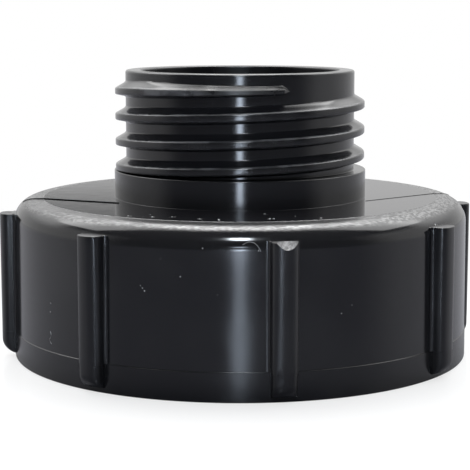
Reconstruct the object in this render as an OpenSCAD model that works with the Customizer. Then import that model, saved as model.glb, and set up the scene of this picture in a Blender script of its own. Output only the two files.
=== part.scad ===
// Reducing adapter for a tank outlet valve. The wide cap screws onto the valve's 100 mm outlet,
// and the narrow threaded neck takes a 60 mm tap or hose coupling.
// The frame stands on the cap's open rim: origin on the axis at the rim, +Z up through the neck,
// -Y towards the front, where the broken rib is.

/* [Cap] */
// Outside diameter of the cap at its open rim
cap_d = 108.8; // [107.8:0.2:114]
// Height from the open rim to the flat shoulder
cap_h = 37.6; // [36.6:0.2:48]
// Thickness of the shoulder over the seal's seat
shoulder_t = 4.2; // [3:0.1:5]
// Radius of the flat disc on the shoulder, out to its crease
disc_r = 47; // [42:0.5:48]
// Fall of the shoulder outside the crease, in degrees
shoulder_fall = 5; // [0:0.5:10]
// Radius of the round edge between shoulder and wall
shoulder_round = 5; // [3:0.25:6]
// How much the wall's radius shrinks from the mould line to the shoulder
wall_draft = 0.2; // [0:0.05:0.5]
// Height of the mould line that runs round the wall
mould_line_h = 6.6; // [5:0.2:9]
// Width of the small ledge at the mould line
mould_ledge = 0.15; // [0.05:0.05:0.3]

/* [Ribs] */
// Number of grip ribs round the cap
rib_count = 8; // [4:1:12]
// Width of a grip rib
rib_w = 5.8; // [4:0.2:8]
// How far a rib stands out from the wall
rib_reach = 3.2; // [2:0.1:4]
// Radius of a rib's two outer edges
rib_edge_r = 1.5; // [0.5:0.1:1.9]
// Radius of the fillet at a rib's foot, above the mould line
rib_foot_r = 0.7; // [0.3:0.1:1.2]
// Height of the ribs' flat top
rib_top_h = 34.5; // [30:0.1:35.5]
// Height at which a rib's rounded lower end starts
rib_low_h = 1.2; // [0.6:0.1:2]
// How much narrower each side of a rib is under the mould line
rib_step = 0.15; // [0.05:0.05:0.3]
// Angle of the first rib, to the right of the front
rib_phase = 9.7; // [0:0.1:22]
// Depth of the piece broken from the top of the first rib
chip_depth = 1.7; // [0.8:0.1:2.4]

/* [Valve thread] */
// Diameter of the wall that the inside thread stands on
valve_d = 100.8; // [99:0.2:101.2]
// Pitch of the inside thread
valve_pitch = 8; // [6:0.5:8]
// Height of the inside thread's ridge
valve_ridge_h = 2.8; // [1.8:0.1:3.2]
// Width of the ridge's crest
valve_crest_w = 1.8; // [1:0.1:2.2]
// Turns of the inside thread, where the cap is deep enough for them
valve_turns = 2.5; // [1.5:0.1:2.5]
// Gap between the upper end of the inside thread and the seal ring
valve_end_gap = 1; // [0.5:0.1:1.6]
// Height of the plain lead-in at the mouth
mouth_h = 3; // [2:0.1:3.4]
// How much wider than the thread's wall the lead-in's radius is
mouth_step = 0.8; // [0.6:0.1:1.2]

/* [Seal] */
// Thickness of the flat seal ring
seal_t = 3.5; // [2:0.1:4]
// Width of the flat seal ring, from bore to rim
seal_w = 9; // [6:0.5:12]
// Gap between the ring's rim and the cap's wall
seal_gap = 0.4; // [0.2:0.1:1]

/* [Neck] */
// How much further the collar under the neck stands out than the neck's wall
collar_step = 2.8; // [2.6:0.1:4.6]
// Height of the collar above the shoulder
collar_h = 6.5; // [5:0.1:9]
// Outside diameter of the neck between its thread ridges
neck_d = 54.6; // [54:0.2:56]
// Height of the neck above the collar
neck_h = 23.6; // [23:0.2:30]
// Thickness of the neck's wall, from the bore to the root of the thread
neck_wall = 3.8; // [3.3:0.1:6]
// How much wider than the bore's radius the hollow under the collar is
core_step = 2.5; // [1:0.1:2.5]
// Height above the collar at which the hollow's cone meets the bore
core_rise = 1.5; // [0.5:0.1:2]
// Radius of the rim's two edges
rim_round = 0.5; // [0.2:0.1:1]

/* [Tap thread] */
// Height of the ridge of the neck's thread
tap_ridge_h = 2.5; // [2:0.1:2.6]
// Pitch of the neck's thread
tap_pitch = 6; // [4:0.5:6]
// Width of the ridge's crest
tap_crest_w = 1.5; // [1:0.1:1.8]
// Distance from the rim down to the middle of the thread's upper end
tap_lead = 3.1; // [2.9:0.1:4]
// Angle at which the thread's upper end stops, to the right of the front
tap_end_angle = 22; // [0:1:360]

/* [Hidden] */
$fn = 96;
past = 1;            // how far a cutting shape runs past the face it opens
front = -90;         // direction of the front, in degrees round the axis
plastic = "#1d1d20";
rubber = "#2b2b2b";

// Radii and heights that follow from the sizes above
cap_r = cap_d / 2;
wall_r = cap_r - mould_ledge;
rib_line_h = mould_line_h - 0.1;    // the mould line crosses the ribs just under the wall's ledge
valve_r = valve_d / 2;
mouth_r = valve_r + mouth_step;
mouth_chamfer = 0.6;
rim_chamfer = 0.3;
seat_h = cap_h - shoulder_t;
seal_r = valve_r - seal_gap;
collar_r = neck_d / 2 + collar_step;
collar_top = cap_h + collar_h;
collar_edge = 0.2;
foot_r = 0.6;
neck_r = neck_d / 2;
total_h = collar_top + neck_h;
bore_r = neck_r - neck_wall;
core_r = bore_r + core_step;
core_top = collar_top + core_rise - core_step;

// The round edge of the shoulder is an arc that touches the drafted wall and the falling shoulder
draft_a = atan(wall_draft / (cap_h - mould_line_h));
wall_n = [cos(draft_a), sin(draft_a)];
fall_n = [sin(shoulder_fall), cos(shoulder_fall)];
wall_c = [wall_r, mould_line_h] * wall_n - shoulder_round;
fall_c = [disc_r, cap_h] * fall_n - shoulder_round;
edge_det = wall_n.x * fall_n.y - wall_n.y * fall_n.x;
edge_c = [wall_c * fall_n.y - fall_c * wall_n.y, wall_n.x * fall_c - fall_n.x * wall_c] / edge_det;

// Thread ridges: steep on the flank that carries the load, sloped on the one that leads in
ridge_steps = 48;        // rings of points in one turn
ridge_sink = 0.6;        // how deep a ridge is rooted in its wall
ridge_nip = 0.35;        // how far the crest's edges are broken
lead_flank = 30;         // slope of the leading flank, in degrees
load_flank = 12;         // slope of the loaded flank, in degrees
ridge_nose = 18;         // length of a ridge's rounded end, in degrees
tap_end_h = total_h - tap_lead;
tap_turns = (tap_end_h - collar_top + 1) / tap_pitch;
valve_root_h = valve_ridge_h + ridge_sink;
valve_start_h = mouth_h + mouth_step + valve_crest_w / 2 + valve_root_h * tan(lead_flank);
valve_last_h = seat_h - seal_t - valve_end_gap - valve_crest_w / 2 - valve_root_h * tan(load_flank);
valve_wound = min(valve_turns, (valve_last_h - valve_start_h) / valve_pitch);

// Section of a ridge: [reach from the wall, rise from the crest's middle], leading flank above
function ridge_section(h, crest) = [
    [-ridge_sink, -crest / 2 - (h + ridge_sink) * tan(load_flank)],
    [h - ridge_nip, -crest / 2 - ridge_nip * tan(load_flank)],
    [h, ridge_nip - crest / 2],
    [h, crest / 2 - ridge_nip],
    [h - ridge_nip, crest / 2 + ridge_nip * tan(lead_flank)],
    [-ridge_sink, crest / 2 + (h + ridge_sink) * tan(lead_flank)]
];

// Angles of the rings of a ridge: even steps, with closer ones where its ends are rounded
function ridge_angles(sweep) =
    let (step = 360 / ridge_steps, n = floor(sweep / step) - 1)
    concat([0, 1, 3], [for (i = [1:n]) i * step], [sweep - 3, sweep - 1, sweep]);

// Share of its full size that a ridge has at an angle: a quarter ellipse at each end
function ridge_growth(a, sweep) =
    let (t = min(1, a / ridge_nose, (sweep - a) / ridge_nose))
    max(0.08, sqrt(1 - pow(1 - t, 2)));

// A helical ridge on a round wall. It starts at angle 0 and height 0 and climbs anticlockwise.
// side is 1 for a ridge outside the wall and -1 for one inside; flip turns its section over.
module helical_ridge(radius, side, flip, section, pitch, turns) {
    sweep = 360 * turns;
    angles = ridge_angles(sweep);
    m = len(section);
    last = len(angles) - 1;
    points = [
        for (a = angles, p = section)
            let (
                k = ridge_growth(a, sweep),
                r = radius + side * ((p.x + ridge_sink) * k - ridge_sink),
                z = a * pitch / 360 + flip * p.y * (0.5 + 0.5 * k)
            )
            [r * cos(a), r * sin(a), z]
    ];
    quads = [
        for (i = [0:last - 1], j = [0:m - 1])
            let (a = i * m + j, b = i * m + (j + 1) % m, c = b + m, d = a + m)
            side * flip > 0 ? [a, b, c, d] : [a, d, c, b]
    ];
    tris = [for (q = quads, half = [[0, 1, 2], [0, 2, 3]]) [for (h = half) q[h]]];
    order = side * flip > 0 ? [for (j = [m - 1:-1:0]) j] : [for (j = [0:m - 1]) j];
    ends = [order, [for (j = [m - 1:-1:0]) last * m + order[j]]];
    polyhedron(points = points, faces = concat(tris, ends), convexity = 10);
}

// Filler for the inside corner between a floor at height z and a wall at radius x
module corner_fillet(x, z, r) {
    difference() {
        translate([x - past, z - past]) square([r + past, r + past]);
        translate([x + r, z + r]) circle(r = r);
    }
}

// Half section of the outside of cap, collar and neck
module outer_section() {
    tangent_wall = edge_c + shoulder_round * wall_n;
    tangent_fall = edge_c + shoulder_round * fall_n;
    polygon([
        [0, 0],
        [cap_r - rim_chamfer, 0],
        [cap_r, rim_chamfer],
        [cap_r, mould_line_h],
        [wall_r, mould_line_h],
        tangent_wall,
        tangent_fall,
        [disc_r, cap_h],
        [collar_r, cap_h],
        [collar_r, collar_top - collar_edge],
        [collar_r - collar_edge, collar_top],
        [neck_r, collar_top],
        [neck_r, total_h - rim_round],
        [neck_r - rim_round, total_h],
        [0, total_h]
    ]);
    translate(edge_c) circle(r = shoulder_round);
    translate([neck_r - rim_round, total_h - rim_round]) circle(r = rim_round);
    corner_fillet(collar_r, cap_h, foot_r);
}

// Half section of the inside: mouth, thread wall, seal seat, hollow under the collar, bore
module inner_section() {
    polygon([
        [0, -past],
        [mouth_r + mouth_chamfer + past, -past],
        [mouth_r, mouth_chamfer],
        [mouth_r, mouth_h],
        [valve_r, mouth_h + mouth_step],
        [valve_r, seat_h],
        [core_r, seat_h],
        [core_r, core_top],
        [bore_r, core_top + core_step],
        [bore_r, total_h - rim_round],
        [bore_r + rim_round + past, total_h + past],
        [0, total_h + past]
    ]);
}

// Plan of a rib, seen along the axis, with +Y outwards
module rib_plan(width, foot) {
    root = wall_r - 2;
    tip = wall_r + rib_reach;
    half = width / 2;
    translate([-half, root]) square([width, tip - rib_edge_r - root]);
    translate([rib_edge_r - half, root]) square([width - 2 * rib_edge_r, tip - root]);
    for (s = [-1, 1]) {
        translate([s * (half - rib_edge_r), tip - rib_edge_r]) circle(r = rib_edge_r);
    }
    if (foot > 0) {
        wall_y = sqrt(pow(wall_r - wall_draft, 2) - pow(half + foot, 2));
        for (s = [0, 1]) {
            mirror([s, 0]) difference() {
                translate([half - past, root]) square([foot + past, wall_y + foot - root]);
                translate([half + foot, wall_y + foot]) circle(r = foot);
            }
        }
    }
}

// Ring that gives the ribs their rounded lower ends and flat tops
module rib_envelope() {
    tip = wall_r + rib_reach;
    rotate_extrude() {
        translate([wall_r - 3, rib_low_h]) square([3, rib_top_h - rib_low_h]);
        translate([wall_r - past, rib_low_h + rib_reach])
            square([rib_reach + past, rib_top_h - rib_low_h - rib_reach]);
        translate([wall_r, rib_low_h + rib_reach]) circle(r = rib_reach);
    }
}

// One grip rib, standing out along +Y
module rib() {
    intersection() {
        union() {
            linear_extrude(height = rib_line_h) rib_plan(rib_w - 2 * rib_step, 0);
            translate([0, 0, rib_line_h])
                linear_extrude(height = rib_top_h - rib_line_h) rib_plan(rib_w, rib_foot_r);
        }
        rib_envelope();
    }
}

// Cutter for the shell-shaped break at the top outer corner of a rib that stands along +Y
module chip() {
    scoop_r = 2;
    slope = 30;
    side_shift = -0.5;
    translate([side_shift, wall_r + rib_reach, rib_top_h - chip_depth])
        rotate([-90 - slope, 0, 0])
            translate([0, -scoop_r, 0]) cylinder(r = scoop_r, h = 3 * rib_reach, center = true, $fn = 48);
}

// The one moulding: cap with shoulder, ribs and inside thread, collar and threaded neck
module adapter_body() {
    color(plastic) union() {
        difference() {
            union() {
                rotate_extrude() outer_section();
                for (i = [0:rib_count - 1]) {
                    rotate([0, 0, rib_phase + i * 360 / rib_count + 180]) rib();
                }
                rotate([0, 0, front + tap_end_angle - 360 * tap_turns])
                    translate([0, 0, tap_end_h - tap_pitch * tap_turns])
                        helical_ridge(neck_r, 1, 1, ridge_section(tap_ridge_h, tap_crest_w),
                            tap_pitch, tap_turns);
            }
            rotate_extrude() inner_section();
            rotate([0, 0, rib_phase + 180]) chip();
        }
        translate([0, 0, valve_start_h])
            helical_ridge(valve_r, -1, -1, ridge_section(valve_ridge_h, valve_crest_w),
                valve_pitch, valve_wound);
    }
}

// Flat rubber ring that the valve's outlet presses against the seat
module seal_ring() {
    color(rubber) translate([0, 0, seat_h - seal_t]) rotate_extrude()
        translate([seal_r - seal_w, 0]) square([seal_w, seal_t]);
}

adapter_body();
seal_ring();
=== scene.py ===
"""Looks of the reducing adapter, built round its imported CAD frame.

Every length is in metres, in the frame of the part: origin on the axis at the cap's open rim,
+Z up through the neck, -Y to the front, where the broken rib is.
"""

import math

import bmesh
import bpy
from bpy.props import FloatProperty, FloatVectorProperty, IntProperty, PointerProperty
from mathutils import Matrix, Vector, noise


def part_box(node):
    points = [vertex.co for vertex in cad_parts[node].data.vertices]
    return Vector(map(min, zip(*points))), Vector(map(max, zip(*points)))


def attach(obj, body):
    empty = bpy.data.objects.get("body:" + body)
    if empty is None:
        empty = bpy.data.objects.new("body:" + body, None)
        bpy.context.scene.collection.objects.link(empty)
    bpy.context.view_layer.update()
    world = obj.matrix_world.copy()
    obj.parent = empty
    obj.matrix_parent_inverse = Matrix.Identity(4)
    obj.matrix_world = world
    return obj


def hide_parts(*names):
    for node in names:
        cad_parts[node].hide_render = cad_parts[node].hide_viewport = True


bl_info = {
    "name": "Reducing Adapter Dresser",
    "version": (1, 0, 0),
    "blender": (4, 5, 0),
    "location": "3D View > Sidebar > Adapter",
    "description": "Builds the moulded cap, threads, grip ribs and studio of the reducing adapter",
    "category": "Object",
}

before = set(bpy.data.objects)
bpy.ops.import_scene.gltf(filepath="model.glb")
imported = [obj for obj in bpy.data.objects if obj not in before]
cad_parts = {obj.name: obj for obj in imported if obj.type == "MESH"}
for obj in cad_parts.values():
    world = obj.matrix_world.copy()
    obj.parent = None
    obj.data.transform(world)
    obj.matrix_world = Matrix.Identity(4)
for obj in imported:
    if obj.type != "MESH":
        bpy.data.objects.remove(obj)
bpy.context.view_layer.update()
neck_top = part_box("adapter_body")[1][2]
MM = 0.001


# ---------------------------------------------------------------- sizes and colours


def length(name, description, default_mm):
    """A length property, with its default given in millimetres."""
    return FloatProperty(name=name, description=description, default=default_mm * MM, min=0.0,
                         subtype="DISTANCE", unit="LENGTH", precision=5)


def angle(name, description, default_deg):
    """An angle property, with its default given in degrees."""
    return FloatProperty(name=name, description=description, default=math.radians(default_deg),
                         subtype="ANGLE", unit="ROTATION")


def share(name, description, default):
    """A plain number between 0 and 1."""
    return FloatProperty(name=name, description=description, default=default, min=0.0, max=1.0,
                         subtype="FACTOR")


def level(name, description, default):
    """A plain number from 0 up."""
    return FloatProperty(name=name, description=description, default=default, min=0.0)


def watts(name, description, default):
    """A lamp's power."""
    return FloatProperty(name=name, description=description, default=default, min=0.0,
                         subtype="POWER", unit="POWER")


def whole(name, description, default, least, most):
    """A whole number between two limits."""
    return IntProperty(name=name, description=description, default=default, min=least, max=most)


def colour(name, description, default):
    """A linear colour."""
    return FloatVectorProperty(name=name, description=description, default=default, size=3,
                               min=0.0, max=1.0, subtype="COLOR")


class AdapterSizes(bpy.types.PropertyGroup):
    """Sizes of the moulding."""

    cap_r: length("Cap radius", "Outside radius of the cap at its open rim", 54.4)
    wall_r: length("Wall radius", "Radius of the cap's wall just above the mould line", 54.25)
    wall_top_r: length("Wall radius, top", "Radius of the drafted wall at the shoulder", 54.07)
    cap_h: length("Cap height", "Height of the flat shoulder", 37.6)
    line_h: length("Mould line", "Height of the mould line round the wall", 6.6)
    disc_r: length("Disc radius", "Radius of the flat disc, out to its crease", 47.0)
    edge_r: length("Round edge", "Radius of the round edge of the shoulder", 5.0)
    edge_fall: angle("Edge fall", "Slope of the shoulder outside its crease", 5.0)
    collar_r: length("Collar radius", "Radius of the collar under the neck", 30.1)
    collar_h: length("Collar height", "Height of the collar above the shoulder", 6.5)
    neck_r: length("Neck radius", "Radius of the neck between its thread ridges", 27.3)
    total_h: length("Total height", "Height of the neck's rim", neck_top / MM)
    bore_r: length("Bore radius", "Radius of the bore through the neck", 23.5)
    core_r: length("Core radius", "Radius of the hollow under the collar", 26.0)
    rim_r: length("Rim rounding", "Radius of the rim's two edges", 0.5)
    valve_r: length("Thread wall", "Radius of the wall that the inside thread stands on", 50.4)
    mouth_r: length("Mouth radius", "Radius of the plain lead-in at the mouth", 51.2)
    mouth_h: length("Mouth height", "Height of the plain lead-in", 3.0)
    seat_h: length("Seat height", "Height of the seal's seat", 33.4)
    core_drop: length("Core drop", "How far under the collar's top the hollow narrows", 1.0)
    steps: whole("Steps", "Steps round the body", 320, 48, 512)


class ThreadSizes(bpy.types.PropertyGroup):
    """Sizes of the two threads."""

    tap_pitch: length("Tap pitch", "Pitch of the neck's thread", 6.0)
    tap_reach: length("Tap ridge height", "Height of the neck's thread ridge", 2.5)
    tap_crest: length("Tap crest width", "Width of the crest of the neck's thread", 1.5)
    tap_lead: length("Tap lead", "Distance from the rim to the middle of the upper end", 3.1)
    tap_end: angle("Tap end angle", "Where the upper end stops, to the right of the front", 24.0)
    valve_pitch: length("Valve pitch", "Pitch of the inside thread", 8.0)
    valve_reach: length("Valve ridge height", "Height of the inside thread's ridge", 2.8)
    valve_crest: length("Valve crest width", "Width of the inside thread's crest", 1.8)
    valve_turns: FloatProperty(name="Valve turns", description="Turns of the inside thread",
                               default=2.5, min=1.0, max=2.5)
    lead_flank: angle("Leading flank", "Slope of the leading flank", 30.0)
    load_flank: angle("Loaded flank", "Slope of the loaded flank", 12.0)
    droop: length("Droop", "How much lower the fading end of the neck's ridge lies", 0.75)
    nose: angle("Fading end", "Length of a ridge's fading end, round the axis", 75.0)


class RibSizes(bpy.types.PropertyGroup):
    """Sizes of the grip ribs."""

    count: whole("Ribs", "Number of grip ribs", 8, 3, 16)
    phase: angle("First rib", "Angle of the first rib, to the right of the front", 9.7)
    width: length("Rib width", "Width of a rib above the mould line", 5.8)
    reach: length("Rib reach", "How far a rib stands out", 3.2)
    crown: length("Rib crown", "Depth of the rounded outer face of a rib", 2.0)
    foot_r: length("Rib foot", "Radius of the fillet at a rib's foot", 0.7)
    top_h: length("Rib top", "Height of a rib's flat top", 34.5)
    low_h: length("Rib foot height", "Height at which a rib's lower end starts", 1.2)
    step: length("Rib step", "How much narrower a side is under the mould line", 0.15)
    ledge: length("Rib ledge", "How far under the mould line that step lies", 0.1)
    top_edge: length("Top edge", "Rounding of the edge round a rib's top", 0.25)


class Finishes(bpy.types.PropertyGroup):
    """Colours and polish of the plastic and rubber."""

    plastic: colour("Plastic", "Colour of the black plastic", (0.0075, 0.0075, 0.0088))
    scuffed: colour("Scuffed plastic", "Colour of grazed plastic", (0.042, 0.041, 0.04))
    # This colour also paints the highlight along the rounded crest edges of the neck's thread
    # ridge
    broken: colour("Broken plastic", "Colour of the fresh break", (0.16, 0.16, 0.165))
    dust: colour("Dust", "Colour of dust specks", (0.42, 0.41, 0.4))
    fluff: colour("Pale dust", "Colour of the palest dust", (0.62, 0.62, 0.63))
    rubber: colour("Rubber", "Colour of the seal ring", (0.022, 0.022, 0.023))
    bloom: colour("Bloom", "Colour of the pale bloom on rubber", (0.09, 0.09, 0.09))
    wall_polish: share("Wall roughness", "Roughness of the upright walls", 0.19)
    disc_polish: share("Disc roughness", "Roughness of the flat disc", 0.07)
    edge_polish: share("Edge roughness", "Roughness of the grainy band outside the crease", 0.27)
    drag: share("Lathe drag", "How far highlights stretch up the upright walls", 0.8)


class Studio(bpy.types.PropertyGroup):
    """Camera, lamps and surroundings."""

    camera_back: length("Camera distance", "Distance of the camera in front of the axis", 369.2)
    camera_up: length("Camera height", "Height of the camera over the floor", 82.79)
    camera_pitch: angle("Camera pitch", "How far the camera looks down", 8.48)
    lens: FloatProperty(name="Lens", description="Focal length in mm on a 36 mm sensor",
                        default=117.86, min=10.0)
    shift: FloatProperty(name="Shift", description="Sideways shift of the picture",
                         default=-0.01055)
    over_wide: length("Overhead width", "Width of the whole soft light overhead", 2400.0)
    over_core: length("Overhead core", "Width of its brighter middle", 500.0)
    over_deep: length("Overhead depth", "Front to back size of the soft light overhead", 850.0)
    over_height: length("Overhead height", "Height of the soft light overhead", 1000.0)
    over_watts: watts("Overhead power", "Power of the soft light overhead", 21.0)
    core_watts: watts("Core power", "Power of its brighter middle", 7.5)
    front_tilt: angle("Front lamp elevation", "Elevation of the small lamp over the camera", 47.0)
    front_watts: watts("Front power", "Power of the small lamp", 4.6)
    front_wide: length("Front width", "Width of the small lamp", 140.0)
    front_high: length("Front height", "Height of the small lamp", 200.0)
    front_aim: length("Front aim", "Height on the axis that the small lamp points at", 35.0)
    window_watts: watts("Window power", "Power of the low window in front", 0.75)
    window_wide: length("Window width", "Width of the low window", 140.0)
    window_high: length("Window height", "Height of the low window", 120.0)
    window_back: length("Window distance", "Distance of the low window from the axis", 1500.0)
    window_up: length("Window lift", "Height of the low window over the floor", 260.0)
    window_aim: length("Window aim", "Height on the axis that the low window points at", 30.0)
    far_glow: level("Far glow", "Brightness of the floor far in front", 30.0)
    near_glow: share("Near glow", "Brightness just in front, as a share of far glow", 0.07)
    surround: level("Surround", "Brightness of the white surroundings", 0.78)
    back_high: level("High back", "Brightness of the wall high behind the object", 2.1)
    front_dark: level("Front", "Brightness of the room behind the camera", 0.06)
    shelf_dark: level("Shelf", "Brightness of a dark shelf behind on the left", 0.2)


# ---------------------------------------------------------------- node trees


def maths(operation, reflected=False):
    """A Python operator that adds one kind of Math node to the tree of its socket."""
    def added(self, other=None):
        values = [self] if other is None else [other, self] if reflected else [self, other]
        return self.graph.add("ShaderNodeMath", {"operation": operation}, dict(enumerate(values)))
    return added


class Socket:
    """An output socket that can stand in Python sums: each sum adds its Math node."""

    def __init__(self, graph, link):
        self.graph = graph
        self.link = link

    __add__, __radd__ = maths("ADD"), maths("ADD", reflected=True)
    __sub__, __rsub__ = maths("SUBTRACT"), maths("SUBTRACT", reflected=True)
    __mul__, __rmul__ = maths("MULTIPLY"), maths("MULTIPLY", reflected=True)
    __truediv__, __rtruediv__ = maths("DIVIDE"), maths("DIVIDE", reflected=True)
    __pow__, __rpow__ = maths("POWER"), maths("POWER", reflected=True)
    __lt__, __gt__ = maths("LESS_THAN"), maths("GREATER_THAN")
    __abs__, root = maths("ABSOLUTE"), maths("SQRT")
    high, low = maths("MAXIMUM"), maths("MINIMUM")


class Graph:
    """A node tree to which nodes are added by one method."""

    def __init__(self, tree):
        self.tree = tree

    def add(self, kind, settings=None, inputs=None, out=0):
        """Adds a node: its settings first, then its inputs. Returns the chosen output."""
        node = self.tree.nodes.new(kind)
        for name, value in (settings or {}).items():
            setattr(node, name, value)
        self.feed(node, inputs or {})
        return Socket(self, self._socket(node.outputs, out))

    def feed(self, node, inputs):
        """Sets or links the inputs of a node by name or number."""
        for key, value in inputs.items():
            socket = self._socket(node.inputs, key)
            if isinstance(value, Socket):
                self.tree.links.new(value.link, socket)
            else:
                socket.default_value = value

    @staticmethod
    def _socket(sockets, key):
        if isinstance(key, int):
            return sockets[key]
        return next(s for s in sockets if s.name == key and s.enabled)

    def step(self, value, start, end):
        """0 before start, 1 after end, and smooth between them. start may be the larger one."""
        return self.add("ShaderNodeMapRange", {"interpolation_type": "SMOOTHSTEP"},
                        {"Value": value, "From Min": start, "From Max": end})

    def band(self, value, start, end, soft):
        """1 between start and end, falling to 0 over a soft edge outside them."""
        return self.step(value, start - soft, start) * self.step(value, end + soft, end)

    def grain(self, place, scale, detail=2.0, rough=0.5):
        """Noise of about 0 to 1 with that many cells in a metre."""
        return self.add("ShaderNodeTexNoise", {"noise_dimensions": "3D"},
                        {"Vector": place, "Scale": scale, "Detail": detail, "Roughness": rough})

    def mix(self, factor, first, second):
        """Mixes two colours, each a socket or three numbers."""
        pair = [c if isinstance(c, Socket) else (*c, 1.0) for c in (first, second)]
        return self.add("ShaderNodeMix", {"data_type": "RGBA"},
                        {"Factor": factor, "A": pair[0], "B": pair[1]}, "Result")

    def split(self, vector):
        """The x, y and z of a vector."""
        node = self.tree.nodes.new("ShaderNodeSeparateXYZ")
        self.feed(node, {0: vector})
        return [Socket(self, s) for s in node.outputs]

    def stretch(self, vector, scale):
        """A vector with its parts multiplied."""
        return self.add("ShaderNodeVectorMath", {"operation": "MULTIPLY"}, {0: vector, 1: scale})

    def bump(self, strength, depth_mm, height):
        """A normal bent by a height, which is that many millimetres deep at 1."""
        return self.add("ShaderNodeBump", {}, {
            "Strength": strength, "Distance": depth_mm * MM, "Height": height})

    def turned(self, angle_z):
        """A rotation about the axis."""
        euler = self.add("ShaderNodeCombineXYZ", {}, {"Z": angle_z})
        return self.add("FunctionNodeEulerToRotation", {}, {0: euler})


def flat_length(x, y):
    """Length of a vector in the plan."""
    return (x * x + y * y).root()


def new_material(name, constants, varying):
    """A Principled material: constants on its own sockets, and what a look function varies."""
    material = bpy.data.materials.new(name)
    material.use_nodes = True
    graph = Graph(material.node_tree)
    place = graph.add("ShaderNodeTexCoord", out="Object")
    shader = material.node_tree.nodes["Principled BSDF"]
    graph.feed(shader, constants)
    graph.feed(shader, varying(graph, place, bpy.context.scene.finishes))
    return material


# ---------------------------------------------------------------- marks and finishes

# How far from its middle a scratch has faded out, and is still full
SCRATCH_EDGE = (0.22 * MM, 0.10 * MM)
SCRATCHES = (
    # x, y of the two ends on the shoulder, in mm
    ((-24.9, -37.9), (-23.6, -38.4)),
    ((-19.4, -39.6), (-18.5, -39.9)),
    ((-15.2, -39.9), (-14.0, -39.5)),
    ((-9.0, -42.8), (-8.0, -43.1)),
    ((5.2, -34.8), (5.8, -35.1)),
    ((6.0, -43.0), (7.3, -42.6)),
    ((17.0, -41.5), (17.8, -41.2)),
    ((44.4, -33.8), (47.6, -28.6)),
    ((43.2, -31.6), (45.5, -29.4)),
)


def line_distance(x, y, start, end):
    """Distance in the plan from a short straight line, given in millimetres."""
    (x0, y0), (x1, y1) = [(a * MM, b * MM) for a, b in (start, end)]
    dx, dy = x1 - x0, y1 - y0
    square = dx * dx + dy * dy
    along = ((x - x0) * (dx / square) + (y - y0) * (dy / square)).high(0.0).low(1.0)
    off_x = x - x0 - along * dx
    off_y = y - y0 - along * dy
    return flat_length(off_x, off_y)


def specks(graph, place, cells, size, share_kept):
    """Small round specks, scattered over a surface and fixed in place."""
    node = graph.tree.nodes.new("ShaderNodeTexVoronoi")
    graph.feed(node, {"Vector": place, "Scale": cells})
    near = Socket(graph, node.outputs["Distance"])
    red = graph.split(Socket(graph, node.outputs["Color"]))[0]
    return graph.step(near, size, size * 0.5) * (red < share_kept)


def wall_look(graph, place, finish):
    """Upright walls, collar, neck and rib sides: drawn-out gloss, faint lathe lines and dust."""
    sizes = bpy.context.scene.adapter_sizes
    x, y, z = graph.split(place)
    radius = flat_length(x, y)
    lathe = graph.grain(graph.stretch(place, (60.0, 60.0, 4200.0)), 1.0, 3.0, 0.6)
    cloud = graph.grain(place, 55.0, 2.0)
    fine = graph.grain(place, 5200.0, 1.0)
    dust = specks(graph, place, 420.0, 0.07, 0.05)
    smear = graph.step(cloud, 0.42, 0.7)
    below = graph.step(z, sizes.line_h + 0.2 * MM, sizes.line_h - 0.2 * MM)
    skirt = graph.step(radius, sizes.disc_r - 7.0 * MM, sizes.disc_r - 2.0 * MM)
    rib = graph.step(radius, sizes.cap_r + 0.2 * MM, sizes.cap_r + 0.6 * MM)
    rough = (finish.wall_polish + 0.05 * (smear - 1.0) * skirt + 0.06 * below * skirt + 0.14 * rib
             + 0.25 * dust)
    grey = graph.mix(0.18 * smear, finish.plastic, finish.scuffed)
    bump = graph.bump(0.32, 0.012, lathe * 0.55 + fine * 0.25)
    return {"Base Color": graph.mix(dust, grey, finish.dust), "Roughness": rough, "Normal": bump}


def shoulder_look(graph, place, finish):
    """Shoulder: polished disc with scratches, a crease, then a grainy band and the round edge."""
    crease = bpy.context.scene.adapter_sizes.disc_r
    x, y, _ = graph.split(place)
    radius = flat_length(x, y)
    edge = graph.step(radius, crease - 0.1 * MM, crease + 0.2 * MM)
    coarse = graph.grain(place, 1250.0, 3.0, 0.7)
    fine = graph.grain(place, 6000.0, 2.0, 0.6)
    cloud = graph.grain(place, 60.0, 3.0)
    ripple = graph.grain(place, 240.0, 2.0)
    pits = specks(graph, place, 800.0, 0.22, 0.3) * edge
    dust = specks(graph, place, 380.0, 0.07, 0.06)

    marks = None
    for start, end in SCRATCHES:
        mark = graph.step(line_distance(x, y, start, end), *SCRATCH_EDGE)
        marks = mark if marks is None else marks.high(mark)
    marks = marks * graph.step(graph.grain(place, 1800.0, 2.0), 0.42, 0.58)

    grainy = edge * graph.step(radius, crease + 5.8 * MM, crease + 4.2 * MM)
    rough = (finish.disc_polish + 0.04 * cloud + grainy * (finish.edge_polish - 0.07) + edge * 0.03
             + 0.35 * marks + 0.3 * dust).low(0.8)
    base = graph.mix(edge * 0.25 * coarse, finish.plastic, finish.scuffed)
    base = graph.mix((marks * 0.7).high(dust), base, finish.dust)
    height = (grainy * (coarse * 9.0 + fine * 1.5 - pits * 3.0) + ripple * 0.5
              + (1.0 - edge) * fine * 0.03)
    bump = graph.bump(0.55, 0.03, height)
    sparkle = grainy * graph.step(coarse, 0.47, 0.56)
    return {"Base Color": base, "Roughness": rough, "Coat Weight": sparkle, "Normal": bump}


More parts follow.
